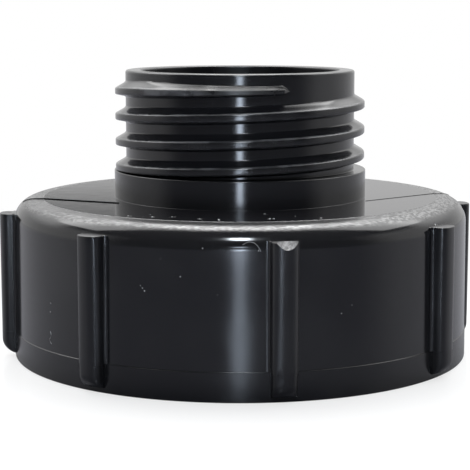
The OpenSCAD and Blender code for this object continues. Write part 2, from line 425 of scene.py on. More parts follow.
def ridge_look(graph, place, finish):
    """Thread ridges of the neck: glossy flanks, crests scuffed by a nut near the front, and a
    painted highlight along the crests' edges.
    """
    root_r = bpy.context.scene.adapter_sizes.neck_r
    crest_r = root_r + bpy.context.scene.thread_sizes.tap_reach
    x, y, z = graph.split(place)
    radius = flat_length(x, y)
    crest = graph.step(radius, crest_r - 0.45 * MM, crest_r - 0.2 * MM)
    top = graph.step(z, neck_top - 6.9 * MM, neck_top - 5.5 * MM)
    front = graph.band(x, -11.0 * MM, 10.5 * MM, 4.0 * MM) * graph.step(y, 0.0, -20.0 * MM)
    patch = graph.step(graph.grain(place, 260.0, 3.0), 0.36, 0.6)
    fine = graph.grain(place, 5200.0, 3.0, 0.65)
    lathe = graph.grain(graph.stretch(place, (60.0, 60.0, 5200.0)), 1.0, 3.0, 0.6)
    flank = graph.step(radius, root_r + 0.3 * MM, root_r + 0.8 * MM)
    worn = crest.high(top * front * flank)
    scuff = worn * (0.12 + 0.88 * front * (0.3 + 0.7 * top)) * (0.35 + 0.65 * patch)
    rough = finish.wall_polish - 0.04 + 0.26 * scuff
    base = graph.mix(scuff * (0.35 + 0.65 * fine), finish.plastic, finish.scuffed)
    # Painted highlight: a pale line in the break colour along both rounded edges of each crest,
    # all round the ridge
    crest_edge_highlight = graph.band(radius, crest_r - 0.48 * MM, crest_r - 0.12 * MM, 0.1 * MM)
    base = graph.mix(0.5 * crest_edge_highlight * (0.3 + 0.7 * patch), base, finish.broken)
    bump = graph.bump(0.4, 0.02, lathe * 0.5 + scuff * fine * 2.2)
    return {"Base Color": base, "Roughness": rough, "Normal": bump}


def inside_look(graph, place, finish):
    """Bore, hollow and inside thread: duller plastic with flow marks."""
    cloud = graph.grain(graph.stretch(place, (1.0, 1.0, 0.25)), 90.0, 3.0)
    fine = graph.grain(place, 3600.0, 2.0)
    smear = graph.step(cloud, 0.4, 0.7)
    base = graph.mix(0.2 * smear, finish.plastic, finish.scuffed)
    bump = graph.bump(0.3, 0.02, fine + cloud * 2.0)
    return {"Base Color": base, "Roughness": 0.24 + 0.12 * smear, "Normal": bump}


def break_look(graph, place, finish):
    """Fresh break: pale, rough and grainy."""
    grain = graph.grain(place, 2600.0, 4.0, 0.7)
    streak = graph.grain(graph.stretch(place, (2600.0, 700.0, 700.0)), 1.0, 3.0, 0.6)
    light = graph.step(grain * 0.5 + streak * 0.5, 0.38, 0.62)
    base = graph.mix(light, finish.scuffed, finish.broken)
    bump = graph.bump(0.8, 0.06, grain + streak)
    return {"Base Color": base, "Roughness": 0.42 + 0.2 * grain, "Normal": bump}


def rubber_look(graph, place, finish):
    """Seal ring: matt rubber with a fine grain and pale bloom."""
    bloom = graph.step(graph.grain(place, 130.0, 4.0, 0.6), 0.45, 0.75)
    grain = graph.grain(place, 4200.0, 2.0)
    base = graph.mix(0.35 * bloom, finish.rubber, finish.bloom)
    bump = graph.bump(0.5, 0.03, grain)
    return {"Base Color": base, "Roughness": 0.62 + 0.16 * bloom, "Normal": bump}


def dust_look(graph, place, finish):
    """Dust specks and a fibre: pale and matt, each a little different."""
    tone = graph.grain(place, 700.0, 2.0)
    base = graph.mix(graph.step(tone, 0.3, 0.7), finish.dust, finish.fluff)
    return {"Base Color": base, "Roughness": 0.55 + 0.3 * tone}


PLASTIC_IOR, RUBBER_IOR, DUST_IOR = 1.54, 1.5, 1.45


def finish_named(name):
    """The material of that name, made on first use."""
    if name in bpy.data.materials:
        return bpy.data.materials[name]
    drag = bpy.context.scene.finishes.drag
    plain = {"IOR": PLASTIC_IOR}
    drawn = {**plain, "Anisotropic": drag, "Anisotropic Rotation": 0.25}
    sparkling = {**plain, "Coat Roughness": 0.24, "Coat IOR": 1.5}
    recipes = {
        "drawn_black_wall": (drawn, wall_look),
        "drawn_black_ridge": (drawn, ridge_look),
        "smooth_black_cap": (plain, wall_look),
        "polished_black_shoulder": (sparkling, shoulder_look),
        "dull_black_inside": (plain, inside_look),
        "fresh_break": (plain, break_look),
        "matt_rubber": ({"IOR": RUBBER_IOR}, rubber_look),
        "pale_dust": ({"IOR": DUST_IOR}, dust_look),
    }
    return new_material(name, *recipes[name])


# ---------------------------------------------------------------- meshes


def between(start, end, part):
    """The point that lies a part of the way from start to end."""
    return tuple(a + (b - a) * part for a, b in zip(start, end))


def arc(centre_r, centre_z, radius, start, end, steps):
    """Points [r, z] on an arc, from one angle to another in degrees."""
    turn = [math.radians(start + (end - start) * i / steps) for i in range(steps + 1)]
    return [(centre_r + radius * math.cos(a), centre_z + radius * math.sin(a)) for a in turn]


# How far from the ends of a straight stretch the points lie that keep its shading flat
HOLD = 0.07 * MM


def line(start, end, steps):
    """Points on a straight line: both ends, and one close to each that keeps the shading flat."""
    shares = [i / steps for i in range(steps + 1)]
    hold = HOLD / max(math.dist(start, end), 1e-9)
    if hold * steps < 0.4:
        shares = [0.0, hold] + shares[1:-1] + [1.0 - hold, 1.0]
    return [between(start, end, part) for part in shares]


def without_doubles(points, gap=2e-6):
    """The loop of points with those dropped that repeat their neighbour."""
    kept = []
    for point in points:
        if not kept or math.dist(point, kept[-1]) > gap:
            kept.append(point)
    if math.dist(kept[0], kept[-1]) <= gap:
        kept.pop()
    return kept


def new_object(name, data):
    """An object in the scene that holds a mesh, lamp or camera."""
    piece = bpy.data.objects.new(name, data)
    bpy.context.scene.collection.objects.link(piece)
    return piece


def shell_object(name, shell):
    """An object that holds what was modelled in a bmesh."""
    mesh = bpy.data.meshes.new(name)
    shell.to_mesh(mesh)
    shell.free()
    return new_object(name, mesh)


def path_object(name, points, closed=False):
    """An object of edges only, through points in space."""
    mesh = bpy.data.meshes.new(name)
    edges = [(i, i + 1) for i in range(len(points) - 1)]
    if closed:
        edges.append((len(points) - 1, 0))
    mesh.from_pydata(points, edges, [])
    return new_object(name, mesh)


def section_object(name, points):
    """A closed flat section for a node tree to sweep."""
    return path_object(name, [(x, y, 0.0) for x, y in points], True)


def blank_object(name):
    """An object with one edge, whose mesh a node tree replaces."""
    return path_object(name, [(0.0, 0.0, 0.0), (0.0, 0.01, 0.0)])


def new_tree(name, sockets):
    """A geometry node tree with named inputs. Returns the graph and its input sockets."""
    tree = bpy.data.node_groups.new(name, "GeometryNodeTree")
    tree.interface.new_socket("Geometry", in_out="INPUT", socket_type="NodeSocketGeometry")
    for title, kind, default in sockets:
        socket = tree.interface.new_socket(title, in_out="INPUT", socket_type=kind)
        if default is not None:
            socket.default_value = default
    tree.interface.new_socket("Geometry", in_out="OUTPUT", socket_type="NodeSocketGeometry")
    graph = Graph(tree)
    source = tree.nodes.new("NodeGroupInput")
    inputs = {s.name: Socket(graph, s) for s in source.outputs if s.name}
    return graph, inputs


def shape_of(graph, holder):
    """The geometry of an object that the tree is given."""
    return graph.add("GeometryNodeObjectInfo", {}, {"Object": holder}, "Geometry")


def curve_of(graph, geometry):
    """The curve that runs along the edges of a mesh."""
    return graph.add("GeometryNodeMeshToCurve", {}, {"Mesh": geometry})


def close_tree(graph, geometry, material):
    """Ends a tree in Realize Instances and Set Material."""
    real = graph.add("GeometryNodeRealizeInstances", {}, {"Geometry": geometry})
    dressed = graph.add("GeometryNodeSetMaterial", {}, {"Geometry": real, "Material": material})
    end = graph.tree.nodes.new("NodeGroupOutput")
    graph.tree.links.new(dressed.link, end.inputs[0])
    return graph.tree


def grown(piece, tree, values, crease_deg=32.0):
    """Runs a node tree on an object, keeps its result as a plain mesh and points it outwards."""
    modifier = piece.modifiers.new(tree.name, "NODES")
    modifier.node_group = tree
    ids = {s.name: s.identifier for s in tree.interface.items_tree
           if s.item_type == "SOCKET" and s.in_out == "INPUT"}
    for title, value in values.items():
        modifier[ids[title]] = value
    applied(piece, modifier)
    settle(piece.data, crease_deg)
    return piece


def applied(piece, modifier):
    """Keeps what a modifier makes of an object as its plain mesh."""
    bpy.context.view_layer.update()
    evaluated = piece.evaluated_get(bpy.context.evaluated_depsgraph_get())
    mesh = bpy.data.meshes.new_from_object(evaluated)
    piece.modifiers.remove(modifier)
    mesh.name = piece.name
    piece.data = mesh


def settle(mesh, crease_deg):
    """Points a closed mesh outwards, and shades it smooth up to a crease angle."""
    shell = bmesh.new()
    shell.from_mesh(mesh)
    bmesh.ops.remove_doubles(shell, verts=shell.verts, dist=2e-7)
    open_edges = [e for e in shell.edges if not e.is_manifold]
    if open_edges:
        raise RuntimeError(f"{mesh.name}: {len(open_edges)} open edges")
    if shell.calc_volume(signed=True) < 0.0:
        bmesh.ops.reverse_faces(shell, faces=shell.faces)
    shell.to_mesh(mesh)
    shell.free()
    for polygon in mesh.polygons:
        polygon.use_smooth = True
    mesh.set_sharp_from_angle(angle=math.radians(crease_deg))
    mesh.update()


def dress(piece, node="adapter_body"):
    """Declares a piece of the moulding to the frame."""
    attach(piece, "root")
    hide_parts(node)


def drop(piece):
    """Removes a helper object."""
    bpy.data.objects.remove(piece, do_unlink=True)


# ---------------------------------------------------------------- pieces


def body_section():
    """Closed section [r, z] of the whole moulding without ridges and ribs."""
    s = bpy.context.scene.adapter_sizes
    top = s.cap_h + s.collar_h
    slope = math.atan2(s.wall_r - s.wall_top_r, s.cap_h - s.line_h)
    wall_n = (math.cos(slope), math.sin(slope))
    fall_n = (math.sin(s.edge_fall), math.cos(s.edge_fall))
    wall_c = s.wall_r * wall_n[0] + s.line_h * wall_n[1] - s.edge_r
    fall_c = s.disc_r * fall_n[0] + s.cap_h * fall_n[1] - s.edge_r
    det = wall_n[0] * fall_n[1] - wall_n[1] * fall_n[0]
    er = (wall_c * fall_n[1] - fall_c * wall_n[1]) / det
    ez = (wall_n[0] * fall_c - fall_n[0] * wall_c) / det
    core_top = top - s.core_drop
    # Small roundings: collar's foot, collar's edge, rims and seat, and the bevel at the mouth
    foot, lip, nip, bevel = 0.06 * MM, 0.22 * MM, 0.35 * MM, 0.6 * MM
    points = arc(s.cap_r - nip, nip, nip, -90, 0, 6)
    # The wall steps in at the mould line, over two points that keep the step soft
    points += line((s.cap_r, nip), (s.cap_r, s.line_h - 0.12 * MM), 6)
    points += [(s.cap_r - 0.02 * MM, s.line_h - 0.04 * MM),
               (s.wall_r + 0.04 * MM, s.line_h + 0.02 * MM)]
    points += line((s.wall_r, s.line_h + 0.1 * MM),
                   (er + s.edge_r * wall_n[0], ez + s.edge_r * wall_n[1]), 20)
    points += arc(er, ez, s.edge_r, math.degrees(slope), 90 - math.degrees(s.edge_fall), 24)
    points += line((er + s.edge_r * fall_n[0], ez + s.edge_r * fall_n[1]),
                   (s.disc_r + 0.12 * MM, s.cap_h - 0.10 * MM), 4)
    # The crease between the disc and the sloping band
    points += [(s.disc_r + 0.04 * MM, s.cap_h - 0.025 * MM)]
    points += line((s.disc_r - 0.05 * MM, s.cap_h), (s.collar_r + foot, s.cap_h), 16)
    points += arc(s.collar_r + foot, s.cap_h + foot, foot, -90, -180, 8)
    points += line((s.collar_r, s.cap_h + foot), (s.collar_r, top - lip), 8)
    points += arc(s.collar_r - lip, top - lip, lip, 0, 90, 5)
    points += line((s.collar_r - lip, top), (s.neck_r + lip, top), 4)
    points += arc(s.neck_r + lip, top + lip, lip, -90, -180, 4)
    points += line((s.neck_r, top + lip), (s.neck_r, s.total_h - s.rim_r), 26)
    points += arc(s.neck_r - s.rim_r, s.total_h - s.rim_r, s.rim_r, 0, 90, 7)
    points += line((s.neck_r - s.rim_r, s.total_h), (s.bore_r + s.rim_r, s.total_h), 4)
    points += arc(s.bore_r + s.rim_r, s.total_h - s.rim_r, s.rim_r, 90, 180, 7)
    points += line((s.bore_r, s.total_h - s.rim_r), (s.bore_r, core_top + s.core_r - s.bore_r), 8)
    points += line((s.core_r, core_top), (s.core_r, s.seat_h + nip), 4)
    points += arc(s.core_r + nip, s.seat_h + nip, nip, 180, 270, 4)
    points += line((s.core_r + nip, s.seat_h), (s.valve_r, s.seat_h), 8)
    points += line((s.valve_r, s.seat_h), (s.valve_r, s.mouth_h + s.mouth_r - s.valve_r), 10)
    points += line((s.mouth_r, s.mouth_h), (s.mouth_r, bevel), 2)
    points += [(s.mouth_r + bevel, 0.0)]
    return without_doubles(points)


# Finishes of the body: neck and collar, shoulder, inside and cap wall
BODY_FINISHES = ("drawn_black_wall", "polished_black_shoulder", "dull_black_inside",
                 "smooth_black_cap")


def body_zone(centre, normal):
    """The finish of a face of the body, as its number in BODY_FINISHES."""
    s = bpy.context.scene.adapter_sizes
    radius = math.hypot(centre.x, centre.y)
    margin = 0.5 * MM
    inward = normal.x * centre.x + normal.y * centre.y < -0.2 * radius
    shoulder = radius > s.collar_r + 0.1 * MM and centre.z > s.cap_h - s.edge_r - margin
    if inward or centre.z < s.seat_h + margin and radius < s.valve_r + margin:
        return 2
    if shoulder and normal.z > 0.08:
        return 1
    return 3 if radius > s.disc_r else 0


def sweep_tree():
    """Sweeps a section round the axis: the section's own place is its radius and height."""
    graph, given = new_tree("Turned Body", (
        ("Section", "NodeSocketObject", None),
        ("Path Radius", "NodeSocketFloat", 0.04),
        ("Steps", "NodeSocketInt", 320),
        ("Material", "NodeSocketMaterial", None),
    ))
    profile = curve_of(graph, shape_of(graph, given["Section"]))
    ring = graph.add("GeometryNodeCurvePrimitiveCircle", {"mode": "RADIUS"},
                     {"Resolution": given["Steps"], "Radius": given["Path Radius"]})
    ring = graph.add("GeometryNodeSetCurveNormal", {"mode": "Z_UP"}, {"Curve": ring})
    body = graph.add("GeometryNodeCurveToMesh", {}, {"Curve": ring, "Profile Curve": profile})
    return close_tree(graph, body, given["Material"])


# How deep the section of a thread ridge reaches into its wall
RIDGE_SINK = 0.6 * MM


def ridge_outline(reach, crest, lead, load, side):
    """Closed section of a thread ridge, in the path's normal and downward directions.

    side is 1 for a ridge that stands outwards and -1 for one that stands inwards.
    """
    nip, flare = 0.3 * MM, 0.3 * MM
    half, flank = crest / 2, 0.5 * (reach - nip - flare)

    def foot(tan):
        """A flank's foot, from inside the wall out: how far out, and how far from the middle."""
        return [(-RIDGE_SINK, half + (reach + RIDGE_SINK) * tan + flare),
                (-0.02 * MM, half + reach * tan + flare),
                (0.08 * MM, half + reach * tan + flare * 0.35),
                (flare, half + (reach - flare) * tan)]

    tan_lead, tan_load = math.tan(lead), math.tan(load)
    low, high = half + nip * tan_load, half + nip * tan_lead
    points = [(r, -h) for r, h in foot(tan_load)]
    points += [(reach - nip - flank, (points[-1][1] - low) / 2)]
    points += rounded((reach - nip, -low), (reach, -half), (reach, nip - half), 5)
    points += [(reach, 0.0)]
    points += rounded((reach, half - nip), (reach, half), (reach - nip, high), 5)
    points += [(flare + flank, high + flank * tan_lead)] + foot(tan_lead)[::-1]
    return [(side * r, -side * h) for r, h in points]


def rounded(start, corner, end, steps):
    """Points of a corner that is rounded by a quadratic curve."""
    points = []
    for i in range(steps + 1):
        t = i / steps
        points.append(tuple((1 - t) ** 2 * a + 2 * t * (1 - t) * b + t * t * c
                            for a, b, c in zip(start, corner, end)))
    return points


# A fading ridge: its size just behind its blunt end and at the very tip, as shares of the
# full size, and how many times shorter than the fading stretch the blunt end is
BLUNT_SIZE, TIP_SIZE, BLUNT_SHORTER = 0.55, 0.06, 20.0


def helix_tree():
    """Sweeps a ridge's section along a helix, with ends that grow out of the wall."""
    graph, given = new_tree("Thread Ridge", (
        ("Section", "NodeSocketObject", None),
        ("Radius", "NodeSocketFloat", 0.03),
        ("Turns", "NodeSocketFloat", 3.0),
        ("Pitch", "NodeSocketFloat", 0.006),
        ("Steps per Turn", "NodeSocketInt", 120),
        ("Nose", "NodeSocketFloat", 0.02),
        ("Droop", "NodeSocketFloat", 0.0),
        ("Start Height", "NodeSocketFloat", 0.0),
        ("Start Angle", "NodeSocketFloat", 0.0),
        ("Material", "NodeSocketMaterial", None),
    ))
    profile = curve_of(graph, shape_of(graph, given["Section"]))
    helix = graph.add("GeometryNodeCurveSpiral", {}, {
        "Resolution": given["Steps per Turn"], "Rotations": given["Turns"],
        "Start Radius": given["Radius"], "End Radius": given["Radius"],
        "Height": given["Turns"] * given["Pitch"], "Reverse": True})
    helix = graph.add("GeometryNodeSetCurveNormal", {"mode": "Z_UP"}, {"Curve": helix})
    along = graph.add("GeometryNodeSplineParameter", {}, {}, "Factor")
    from_end = along.low(1.0 - along) / given["Nose"]
    nose = from_end.low(1.0)
    blunt = (1.0 - (1.0 - (from_end * BLUNT_SHORTER).low(1.0)) ** 2.0).high(0.0).root()
    growth = (blunt * (BLUNT_SIZE + (1.0 - BLUNT_SIZE) * nose)).high(TIP_SIZE)
    sag = graph.add("ShaderNodeCombineXYZ", {}, {"Z": given["Droop"] * (1.0 - nose) * -1.0})
    helix = graph.add("GeometryNodeSetPosition", {}, {"Geometry": helix, "Offset": sag})
    ridge = graph.add("GeometryNodeCurveToMesh", {}, {
        "Curve": helix, "Profile Curve": profile, "Scale": growth, "Fill Caps": True})
    lift = graph.add("ShaderNodeCombineXYZ", {}, {"Z": given["Start Height"]})
    placed = graph.add("GeometryNodeTransform", {}, {
        "Geometry": ridge, "Translation": lift, "Rotation": graph.turned(given["Start Angle"])})
    return close_tree(graph, placed, given["Material"])


# How deep a grip rib reaches into the cap's wall
RIB_SINK = 1.6 * MM


def leg(longest, other):
    """Length of the third side of a right triangle, or 0 where there is none."""
    return math.sqrt(max(0.0, longest ** 2 - other ** 2))


def drafted(height):
    """Radius of the cap's wall at a height over the mould line."""
    s = bpy.context.scene.adapter_sizes
    return s.wall_r - (s.wall_r - s.wall_top_r) * (height - s.line_h) / (s.cap_h - s.line_h)


def rib_ring(height):
    """Closed plan of one rib at a height, with +Y outwards."""
    s = bpy.context.scene.adapter_sizes
    r = bpy.context.scene.rib_sizes
    wall = drafted(max(height, s.line_h))
    below = height < s.line_h - r.ledge
    half = r.width / 2 - (r.step if below else 0.0)
    foot = 0.06 * MM if below else r.foot_r
    rise = height - r.top_h + r.top_edge
    inset = r.top_edge - leg(r.top_edge, rise) if rise > 0.0 else 0.0
    reach = r.reach - inset
    bottom = r.low_h + r.reach - height
    if bottom > 0.0:
        reach = max(0.02 * MM, leg(r.reach, bottom))
    half -= inset
    tip = s.wall_r + r.reach
    centre_y = math.sqrt(wall ** 2 - (half + foot) ** 2) + foot
    side = [(half + foot * (1 - math.sin(t)), centre_y - foot * math.cos(t))
            for t in (math.radians(a) for a in range(0, 91, 15))]
    crown = r.crown - inset
    side += [(half, centre_y + (tip - crown - centre_y) * k) for k in (0.33, 0.66)]
    side += [(half * math.cos(t) ** 0.86, tip - crown + crown * math.sin(t) ** 0.86)
             for t in (math.radians(a) for a in range(0, 86, 5))]
    scale = reach / r.reach
    points = [(half + foot, s.wall_r - RIB_SINK)]
    for px, py in side:
        base = leg(wall, px)
        points.append((px, base + (py - base) * scale if py > base else py))
    return points + [(-px, py) for px, py in reversed(points)]


def rib_shell():
    """Mesh of one grip rib that stands along +Y."""
    s = bpy.context.scene.adapter_sizes
    r = bpy.context.scene.rib_sizes
    bend = [r.low_h + r.reach * (1 - math.cos(math.radians(a))) for a in range(0, 91, 9)]
    cut = s.line_h - r.ledge
    upper = [cut + 0.04 * MM + (r.top_h - r.top_edge - cut) * k / 14 for k in range(14)]
    crown = [r.top_h - r.top_edge * (1 - math.sin(math.radians(a))) for a in range(0, 91, 18)]
    heights = bend + [cut - 0.02 * MM] + upper + crown
    shell = bmesh.new()
    rings = [[shell.verts.new((x, y, h)) for x, y in rib_ring(h)] for h in heights]
    count = len(rings[0])
    for low, high in zip(rings, rings[1:]):
        for i in range(count):
            j = (i + 1) % count
            shell.faces.new((low[i], low[j], high[j], high[i]))
    shell.faces.new(list(reversed(rings[0])))
    shell.faces.new(rings[-1])
    bmesh.ops.recalc_face_normals(shell, faces=shell.faces)
    return shell_object("rib_shell", shell)


def ribs_tree():
    """Sets copies of one rib round the cap and leaves out the broken one."""
    graph, given = new_tree("Grip Ribs", (
        ("Rib", "NodeSocketObject", None),
        ("Count", "NodeSocketInt", 8),
        ("First Angle", "NodeSocketFloat", 0.0),
        ("Left Out", "NodeSocketInt", 0),
        ("Material", "NodeSocketMaterial", None),
    ))
    rib = shape_of(graph, given["Rib"])
    points = graph.add("GeometryNodeMeshLine", {"mode": "OFFSET"},
                       {"Count": given["Count"], "Offset": (0.0, 0.0, 0.0)})
    index = graph.add("GeometryNodeInputIndex")
    kept = abs(index - given["Left Out"]) > 0.5
    turn = given["First Angle"] + index * (2.0 * math.pi) / given["Count"]
    set_out = graph.add("GeometryNodeInstanceOnPoints", {}, {
        "Points": points, "Selection": kept, "Instance": rib, "Rotation": graph.turned(turn)})
    return close_tree(graph, set_out, given["Material"])


def chip_cutter():
    """Closed, uneven scoop that breaks the top outer corner off a rib that stands along +Y."""
    s = bpy.context.scene.adapter_sizes
    r = bpy.context.scene.rib_sizes
    tip = s.wall_r + r.reach
    across, along = 44, 36
    # In mm: the scoop's reach to each side, inwards and outwards, its greatest depth, how far
    # left of the middle that lies, its half width, and how far it may rise over the rib
    aside, inwards, outwards, deepest, left, half, clear = 3.6, 3.2, 1.4, 1.6, 0.35, 2.6, 2.2
    shell = bmesh.new()
    floor, roof = [], []
    for i in range(across + 1):
        x = (-aside + 2 * aside * i / across) * MM
        low_row, high_row = [], []
        for j in range(along + 1):
            y = tip + (-inwards + (inwards + outwards) * j / along) * MM
            from_edge = (tip - y) / MM
            bowl = deepest - deepest * ((x / MM + left) / half) ** 2
            bowl -= 0.5 * max(0.0, from_edge) ** 1.2
            rough = noise.noise(Vector((x, y, 0.0)) * 900.0) * 0.16
            rough += noise.noise(Vector((x, y, 0.01)) * 2400.0) * 0.09
            depth = max(-clear, bowl + rough)
            low_row.append(shell.verts.new((x, y, r.top_h - depth * MM)))
            high_row.append(shell.verts.new((x, y, r.top_h + (clear + 0.8) * MM)))
        floor.append(low_row)
        roof.append(high_row)
    for grid, up in ((floor, False), (roof, True)):
        for i in range(across):
            for j in range(along):
                quad = [grid[i][j], grid[i + 1][j], grid[i + 1][j + 1], grid[i][j + 1]]
                shell.faces.new(quad if up else list(reversed(quad)))
    rim = [(i, 0) for i in range(across)] + [(across, j) for j in range(along)]
    rim += [(i, along) for i in range(across, 0, -1)] + [(0, j) for j in range(along, 0, -1)]
    for (a, b), (c, d) in zip(rim, rim[1:] + rim[:1]):
        shell.faces.new((floor[a][b], floor[c][d], roof[c][d], roof[a][b]))
    bmesh.ops.recalc_face_normals(shell, faces=shell.faces)
    piece = shell_object("chip_cutter", shell)
    piece.data.materials.append(finish_named("fresh_break"))
    return piece


# Dust on the wall: angle to the right of the front in degrees, height and size in mm
WALL_DUST = ((-13.3, 26.8, 0.16), (-21.8, 23.3, 0.15), (-22.3, 23.9, 0.12), (-22.8, 24.4, 0.1),
             (4.1, 32.5, 0.13), (-50.6, 17.6, 0.12), (-50.9, 15.6, 0.1), (26.0, 20.0, 0.08),
             (1.3, 3.8, 0.1), (-9.0, 3.4, 0.12), (52.3, 36.2, 0.12))
# Dust on the disc: x, y and size in mm
DISC_DUST = ((-4.5, -44.4, 0.2), (-8.6, -42.9, 0.13), (6.4, -42.9, 0.17), (17.4, -41.3, 0.13),
             (-24.3, -38.1, 0.12), (-19.0, -39.7, 0.12), (-14.7, -39.7, 0.1), (5.5, -34.9, 0.1),
             (7.3, -42.6, 0.12), (-19.6, -36.2, 0.08), (12.0, -38.5, 0.08))
# Parting lines on the shoulder: name, x, y of both ends and height, in mm
PARTING = (("parting_left", (-28.0, -16.3), (-51.6, -5.6), 0.20),
           ("parting_right", (29.4, -12.2), (51.2, 5.6), 0.10))
# Trails on the wall: angle to the right of the front in degrees and height in mm
FIBRE = ((0.6, 33.7), (1.3, 34.1), (2.2, 34.3), (3.1, 34.1), (3.8, 33.6), (4.3, 32.9), (4.6, 32.3))
SHAVING = ((-51.0, 11.2), (-50.6, 10.6), (-50.8, 9.9), (-51.3, 9.4), (-51.0, 8.7), (-50.5, 8.4))


def shoulder_height(radius):
    """Height of the shoulder at a radius, out to the round edge."""
    s = bpy.context.scene.adapter_sizes
    if radius <= s.disc_r:
        return s.cap_h
    fall = math.tan(s.edge_fall)
    er = s.wall_top_r - s.edge_r
    round_from = er + s.edge_r * math.sin(s.edge_fall)
    if radius <= round_from:
        return s.cap_h - (radius - s.disc_r) * fall
    ez = s.cap_h - (round_from - s.disc_r) * fall - s.edge_r * math.cos(s.edge_fall)
    return ez + leg(s.edge_r, radius - er)


def wall_spot(angle_deg, height_mm, size_mm):
    """A place on the upright wall with the size of what lies there, in metres."""
    s = bpy.context.scene.adapter_sizes
    turn = math.radians(angle_deg)
    z = height_mm * MM
    radius = drafted(z)
    rise = z - (s.cap_h - s.edge_r - 0.25 * MM)
    if rise > 0.0:
        radius -= s.edge_r - leg(s.edge_r, rise)
    return radius * math.sin(turn), -radius * math.cos(turn), z, size_mm * MM


def bead_tree():
    """Sweeps a small section along the piece's own path."""
    graph, given = new_tree("Bead", (
        ("Section", "NodeSocketObject", None),
        ("Material", "NodeSocketMaterial", None),
    ))
    profile = curve_of(graph, shape_of(graph, given["Section"]))
    path = curve_of(graph, given["Geometry"])
    path = graph.add("GeometryNodeSetCurveNormal", {"mode": "Z_UP"}, {"Curve": path})
    bead = graph.add("GeometryNodeCurveToMesh", {}, {
        "Curve": path, "Profile Curve": profile, "Scale": 1.0, "Fill Caps": True})
    return close_tree(graph, bead, given["Material"])


def swept(piece, outline, tree, values, crease_deg=32.0):
    """Sweeps a closed section with a node tree, which makes the mesh of the piece."""
    section = section_object(piece.name + "_section", outline)
    grown(piece, tree, {"Section": section, **values}, crease_deg)
    drop(section)
    return piece


def lay_bead(name, points, bead, tree, material, crease_deg=32.0):
    """Makes one bead of the moulding along points, from its section in millimetres."""
    outline = [(x * MM, y * MM) for x, y in bead]
    dress(swept(path_object(name, points), outline, tree, {"Material": material}, crease_deg))


def pebble_object():
    """A lumpy speck of unit radius."""
    shell = bmesh.new()
    bmesh.ops.create_icosphere(shell, subdivisions=2, radius=1.0)
    for vertex in shell.verts:
        vertex.co *= 1.0 + 0.35 * noise.noise(vertex.co * 1.7)
    return shell_object("pebble", shell)


# The greatest angle by which a speck is turned about each axis, in radians
FULL_TURN = 6.28


def dust_tree():
    """Sets a turned pebble of the stored size on each point."""
    graph, given = new_tree("Dust Specks", (
        ("Pebble", "NodeSocketObject", None),
        ("Seed", "NodeSocketInt", 5),
        ("Material", "NodeSocketMaterial", None),
    ))
    pebble = shape_of(graph, given["Pebble"])
    size = graph.add("GeometryNodeInputNamedAttribute", {"data_type": "FLOAT"}, {"Name": "size"})
    turn = graph.add("FunctionNodeRandomValue", {"data_type": "FLOAT_VECTOR"},
                     {"Max": (FULL_TURN,) * 3, "Seed": given["Seed"]})
    turn = graph.add("FunctionNodeEulerToRotation", {}, {0: turn})
    points = graph.add("GeometryNodeMeshToPoints", {}, {"Mesh": given["Geometry"]})
    scattered = graph.add("GeometryNodeInstanceOnPoints", {}, {
        "Points": points, "Instance": pebble, "Rotation": turn, "Scale": size})
    return close_tree(graph, scattered, given["Material"])


# ---------------------------------------------------------------- operators


class ADAPTER_OT_body(bpy.types.Operator):
    """Turns the cap, shoulder, collar and neck from one section"""

    bl_idname = "adapter.body"
    bl_label = "Turned Body"

    def execute(self, context):
        path = 40.0 * MM
        finishes = [finish_named(name) for name in BODY_FINISHES]
        outline = [(r - path, -z) for r, z in body_section()]
        piece = swept(blank_object("turned_body"), outline, sweep_tree(), {
            "Path Radius": path, "Steps": context.scene.adapter_sizes.steps,
            "Material": finishes[0]})
        for finish in finishes[1:]:
            piece.data.materials.append(finish)
        for polygon in piece.data.polygons:
            polygon.material_index = body_zone(polygon.center, polygon.normal)
        dress(piece)
        return {"FINISHED"}


class ADAPTER_OT_threads(bpy.types.Operator):
    """Winds the neck's thread ridge and the cap's inside thread ridge"""

    bl_idname = "adapter.threads"
    bl_label = "Thread Ridges"

    def execute(self, context):
        s = context.scene.adapter_sizes
        t = context.scene.thread_sizes
        flanks, round_axis, tree = (t.lead_flank, t.load_flank), 2 * math.pi, helix_tree()
        start = s.cap_h + s.collar_h - 1.0 * MM
        turns = (s.total_h - t.tap_lead - start) / t.tap_pitch
        outline = ridge_outline(t.tap_reach, t.tap_crest, *flanks, 1)
        dress(swept(blank_object("tap_ridge"), outline, tree, {
            "Radius": s.neck_r, "Turns": turns, "Pitch": t.tap_pitch, "Steps per Turn": 96,
            "Nose": t.nose / (round_axis * turns), "Droop": t.droop, "Start Height": start,
            "Start Angle": math.radians(-90) + t.tap_end - round_axis * turns,
            "Material": finish_named("drawn_black_ridge")}))
        start = s.mouth_h + s.mouth_r - s.valve_r + t.valve_crest / 2
        start += (t.valve_reach + RIDGE_SINK) * math.tan(t.lead_flank)
        outline = ridge_outline(t.valve_reach, t.valve_crest, *flanks, -1)
        dress(swept(blank_object("valve_ridge"), outline, tree, {
            "Radius": s.valve_r, "Turns": t.valve_turns, "Pitch": t.valve_pitch,
            "Steps per Turn": 120, "Nose": t.nose / (round_axis * t.valve_turns), "Droop": 0.0,
            "Start Height": start, "Start Angle": 0.0,
            "Material": finish_named("dull_black_inside")}))
        return {"FINISHED"}


